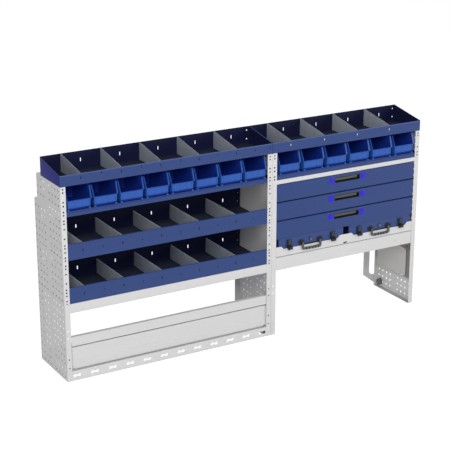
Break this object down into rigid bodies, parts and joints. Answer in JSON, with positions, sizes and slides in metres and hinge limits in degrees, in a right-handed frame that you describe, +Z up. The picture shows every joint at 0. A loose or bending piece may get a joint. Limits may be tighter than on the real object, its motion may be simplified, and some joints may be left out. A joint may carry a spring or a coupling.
{
  "type": "van shelving unit",
  "caption": "Two-module steel van racking unit: open trays with dividers, a row of open-front bins, drawers, a pull-out tray of portable cases and a drop-down flap.",
  "frame": {"origin": "on the floor, under the middle of the unit's bounding box", "axes": "+X to the right along the width, +Y to the rear (the van wall), +Z up"},
  "size_m": [2.286, 0.3744, 1.1908],
  "materials": {
    "panel_grey": "satin powder coat",
    "tray_blue": "satin powder coat",
    "divider_grey": "satin",
    "bin_blue": "moulded",
    "case_blue": "satin",
    "handle_black": "moulded",
    "latch_grey": "moulded",
    "lock_metal": "polished",
    "rod_steel": "drawn"
  },
  "bodies": {
    "frame": {"left_upright": "panel_grey", "centre_upright_left": "panel_grey", "centre_upright_right": "panel_grey", "right_upright": "panel_grey", "rear_strap": "panel_grey", "leg_lining": "panel_grey", "leg_cap": "latch_grey", "top_tray_left": "tray_blue", "top_tray_right": "tray_blue", "top_divider_left_1": "divider_grey", "top_divider_left_2": "divider_grey", "top_divider_left_3": "divider_grey", "top_divider_left_4": "divider_grey", "top_divider_left_5": "divider_grey", "top_divider_right_1": "divider_grey", "top_divider_right_2": "divider_grey", "top_divider_right_3": "divider_grey", "top_divider_right_4": "divider_grey", "mid_tray": "tray_blue", "low_tray": "tray_blue", "bin_shelf_left": "tray_blue", "bin_shelf_right": "tray_blue", "beam_left": "panel_grey", "support_frame": "panel_grey", "floor_pan": "panel_grey", "flap_rod": "rod_steel", "drawer_cabinet": "tray_blue", "top_rail": "panel_grey"},
    "flap": {"flap": "panel_grey"},
    "bin_left_1": {"bin_left_1": "bin_blue"},
    "bin_left_2": {"bin_left_2": "bin_blue"},
    "bin_left_3": {"bin_left_3": "bin_blue"},
    "bin_left_4": {"bin_left_4": "bin_blue"},
    "bin_left_5": {"bin_left_5": "bin_blue"},
    "bin_left_6": {"bin_left_6": "bin_blue"},
    "bin_left_7": {"bin_left_7": "bin_blue"},
    "bin_left_8": {"bin_left_8": "bin_blue"},
    "bin_right_1": {"bin_right_1": "bin_blue"},
    "bin_right_2": {"bin_right_2": "bin_blue"},
    "bin_right_3": {"bin_right_3": "bin_blue"},
    "bin_right_4": {"bin_right_4": "bin_blue"},
    "bin_right_5": {"bin_right_5": "bin_blue"},
    "bin_right_6": {"bin_right_6": "bin_blue"},
    "drawer_1": {"drawer_1": "tray_blue", "drawer_handle_1": "handle_black"},
    "drawer_2": {"drawer_2": "tray_blue", "drawer_handle_2": "handle_black"},
    "drawer_3": {"drawer_3": "tray_blue", "drawer_handle_3": "handle_black"},
    "case_tray": {"case_tray": "panel_grey", "case_left": "case_blue", "case_right": "case_blue"},
    "case_handle_left": {"case_handle_left": "handle_black"},
    "case_lock_left": {"case_lock_left": "lock_metal"},
    "case_latch_1": {"case_latch_1": "latch_grey"},
    "case_latch_2": {"case_latch_2": "latch_grey"},
    "case_handle_right": {"case_handle_right": "handle_black"},
    "case_lock_right": {"case_lock_right": "lock_metal"},
    "case_latch_3": {"case_latch_3": "latch_grey"},
    "case_latch_4": {"case_latch_4": "latch_grey"}
  },
  "joints": [
    {"name": "flap_hinge", "type": "hinge", "parent": "frame", "child": "flap", "pos_m": [-0.508, -0.16775, 0.0624], "axis": [1, 0, 0], "range_deg": [0, 90]},
    {"name": "bin_left_1_slide", "type": "slide", "parent": "frame", "child": "bin_left_1", "axis": [0, -1, 0], "range_m": [0, 0.2]},
    {"name": "bin_left_2_slide", "type": "slide", "parent": "frame", "child": "bin_left_2", "axis": [0, -1, 0], "range_m": [0, 0.2]},
    {"name": "bin_left_3_slide", "type": "slide", "parent": "frame", "child": "bin_left_3", "axis": [0, -1, 0], "range_m": [0, 0.2]},
    {"name": "bin_left_4_slide", "type": "slide", "parent": "frame", "child": "bin_left_4", "axis": [0, -1, 0], "range_m": [0, 0.2]},
    {"name": "bin_left_5_slide", "type": "slide", "parent": "frame", "child": "bin_left_5", "axis": [0, -1, 0], "range_m": [0, 0.2]},
    {"name": "bin_left_6_slide", "type": "slide", "parent": "frame", "child": "bin_left_6", "axis": [0, -1, 0], "range_m": [0, 0.2]},
    {"name": "bin_left_7_slide", "type": "slide", "parent": "frame", "child": "bin_left_7", "axis": [0, -1, 0], "range_m": [0, 0.2]},
    {"name": "bin_left_8_slide", "type": "slide", "parent": "frame", "child": "bin_left_8", "axis": [0, -1, 0], "range_m": [0, 0.2]},
    {"name": "bin_right_1_slide", "type": "slide", "parent": "frame", "child": "bin_right_1", "axis": [0, -1, 0], "range_m": [0, 0.2]},
    {"name": "bin_right_2_slide", "type": "slide", "parent": "frame", "child": "bin_right_2", "axis": [0, -1, 0], "range_m": [0, 0.2]},
    {"name": "bin_right_3_slide", "type": "slide", "parent": "frame", "child": "bin_right_3", "axis": [0, -1, 0], "range_m": [0, 0.2]},
    {"name": "bin_right_4_slide", "type": "slide", "parent": "frame", "child": "bin_right_4", "axis": [0, -1, 0], "range_m": [0, 0.2]},
    {"name": "bin_right_5_slide", "type": "slide", "parent": "frame", "child": "bin_right_5", "axis": [0, -1, 0], "range_m": [0, 0.2]},
    {"name": "bin_right_6_slide", "type": "slide", "parent": "frame", "child": "bin_right_6", "axis": [0, -1, 0], "range_m": [0, 0.2]},
    {"name": "drawer_1_slide", "type": "slide", "parent": "frame", "child": "drawer_1", "axis": [0, -1, 0], "range_m": [0, 0.3]},
    {"name": "drawer_2_slide", "type": "slide", "parent": "frame", "child": "drawer_2", "axis": [0, -1, 0], "range_m": [0, 0.3]},
    {"name": "drawer_3_slide", "type": "slide", "parent": "frame", "child": "drawer_3", "axis": [0, -1, 0], "range_m": [0, 0.3]},
    {"name": "case_tray_slide", "type": "slide", "parent": "frame", "child": "case_tray", "axis": [0, -1, 0], "range_m": [0, 0.3]},
    {"name": "case_handle_left_pivot", "type": "hinge", "parent": "case_tray", "child": "case_handle_left", "pos_m": [0.3935, -0.18015, 0.5306], "axis": [-1, 0, 0], "range_deg": [0, 90]},
    {"name": "case_lock_left_turn", "type": "hinge", "parent": "case_tray", "child": "case_lock_left", "pos_m": [0.3935, -0.16965, 0.5436], "axis": [0, -1, 0], "range_deg": [0, 90]},
    {"name": "case_latch_1_pivot", "type": "hinge", "parent": "case_tray", "child": "case_latch_1", "pos_m": [0.2445, -0.16995, 0.5626], "axis": [-1, 0, 0], "range_deg": [0, 60]},
    {"name": "case_latch_2_pivot", "type": "hinge", "parent": "case_tray", "child": "case_latch_2", "pos_m": [0.5425, -0.16995, 0.5626], "axis": [-1, 0, 0], "range_deg": [0, 60]},
    {"name": "case_handle_right_pivot", "type": "hinge", "parent": "case_tray", "child": "case_handle_right", "pos_m": [0.8765, -0.18015, 0.5306], "axis": [-1, 0, 0], "range_deg": [0, 90]},
    {"name": "case_lock_right_turn", "type": "hinge", "parent": "case_tray", "child": "case_lock_right", "pos_m": [0.8765, -0.16965, 0.5436], "axis": [0, -1, 0], "range_deg": [0, 90]},
    {"name": "case_latch_3_pivot", "type": "hinge", "parent": "case_tray", "child": "case_latch_3", "pos_m": [0.7275, -0.16995, 0.5626], "axis": [-1, 0, 0], "range_deg": [0, 60]},
    {"name": "case_latch_4_pivot", "type": "hinge", "parent": "case_tray", "child": "case_latch_4", "pos_m": [1.0255, -0.16995, 0.5626], "axis": [-1, 0, 0], "range_deg": [0, 60]}
  ]
}
